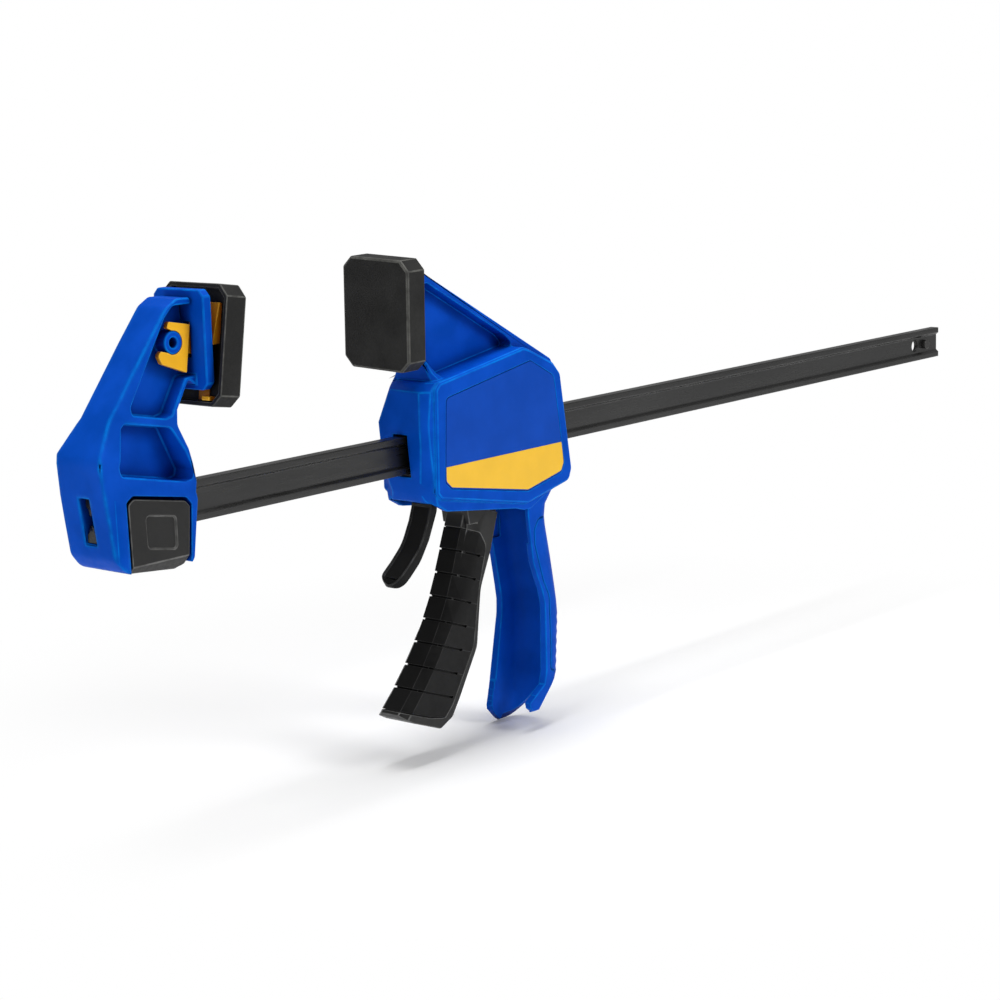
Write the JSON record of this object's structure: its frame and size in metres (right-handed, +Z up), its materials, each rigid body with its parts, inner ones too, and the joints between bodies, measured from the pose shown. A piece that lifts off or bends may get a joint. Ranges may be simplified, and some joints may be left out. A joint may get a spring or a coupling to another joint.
{
  "type": "quick release bar clamp",
  "caption": "One-handed bar clamp: blue body with squeeze trigger and release lever on a long steel bar, with a fixed jaw and swivelling octagonal pads.",
  "frame": {"origin": "centre of the bounding box at the lowest point, the toe of the rear handle", "axes": "+X along the bar towards its tail, +Y away from the push button side, +Z up"},
  "size_m": [0.7634, 0.047, 0.2707],
  "materials": {
    "body_blue": "satin moulded, fine grain",
    "label_blue": "smooth label plate",
    "band_yellow": "smooth printed band",
    "carrier_yellow": "satin moulded",
    "pad_grey": "matt, fine grain",
    "bar_black": "black coated steel with drawing lines",
    "soft_black": "soft satin",
    "hard_black": "satin moulded",
    "steel": "plain"
  },
  "bodies": {
    "body": {"body_shell": "body_blue", "label_near": "label_blue", "label_far": "label_blue", "band_near": "band_yellow", "band_far": "band_yellow", "front_guide": "hard_black", "rear_guide": "hard_black", "trigger_pin": "steel", "drive_spring": "steel", "brake_spring": "steel", "pad_pin": "steel"},
    "bar": {"bar": "bar_black", "stop_pin": "steel", "fixed_jaw": "body_blue", "button_spring": "steel"},
    "button": {"jaw_button": "hard_black", "lock_bolt": "steel"},
    "fixed_pad": {"fixed_carrier": "carrier_yellow", "fixed_pad": "pad_grey"},
    "moving_pad": {"moving_carrier": "carrier_yellow", "moving_pad": "pad_grey"},
    "trigger": {"trigger_frame": "hard_black", "trigger_grip": "soft_black"},
    "drive": {"drive_plate_front": "steel", "drive_plate_rear": "steel"},
    "release": {"brake_plate": "steel", "release_lever": "hard_black", "lever_rivets": "steel"}
  },
  "joints": [
    {"name": "bar_slide", "type": "slide", "parent": "body", "child": "bar", "axis": [1, 0, 0], "range_m": [-0.412, 0.106]},
    {"name": "trigger_squeeze", "type": "hinge", "parent": "body", "child": "trigger", "pos_m": [-0.11935, 0, 0.185], "axis": [0, -1, 0], "range_deg": [0, 22], "stiffness_Nm_per_rad": 2, "springref_deg": -17.19},
    {"name": "drive_advance", "type": "slide", "parent": "body", "child": "drive", "axis": [1, 0, 0], "range_m": [0, 0.012], "deforming": ["drive_spring"]},
    {"name": "release_pull", "type": "hinge", "parent": "body", "child": "release", "pos_m": [-0.14335, 0, 0.186], "axis": [0, -1, 0], "range_deg": [0, 10], "stiffness_Nm_per_rad": 0.4, "springref_deg": -11.46, "deforming": ["brake_spring"]},
    {"name": "button_push", "type": "slide", "parent": "bar", "child": "button", "axis": [0, 1, 0], "range_m": [0, 0.0035], "stiffness_N_per_m": 1500, "springref_m": -0.002, "deforming": ["button_spring"]},
    {"name": "fixed_pad_swivel", "type": "hinge", "parent": "bar", "child": "fixed_pad", "pos_m": [-0.32785, 0, 0.243], "axis": [0, 1, 0], "range_deg": [-17, 0]},
    {"name": "moving_pad_swivel", "type": "hinge", "parent": "body", "child": "moving_pad", "pos_m": [-0.15985, 0, 0.2414], "axis": [0, 1, 0], "range_deg": [-2.4, 4.4]}
  ],
  "couplings": [
    {"joint": "drive_advance", "follows": "trigger_squeeze", "m_per_rad": 0.031}
  ]
}
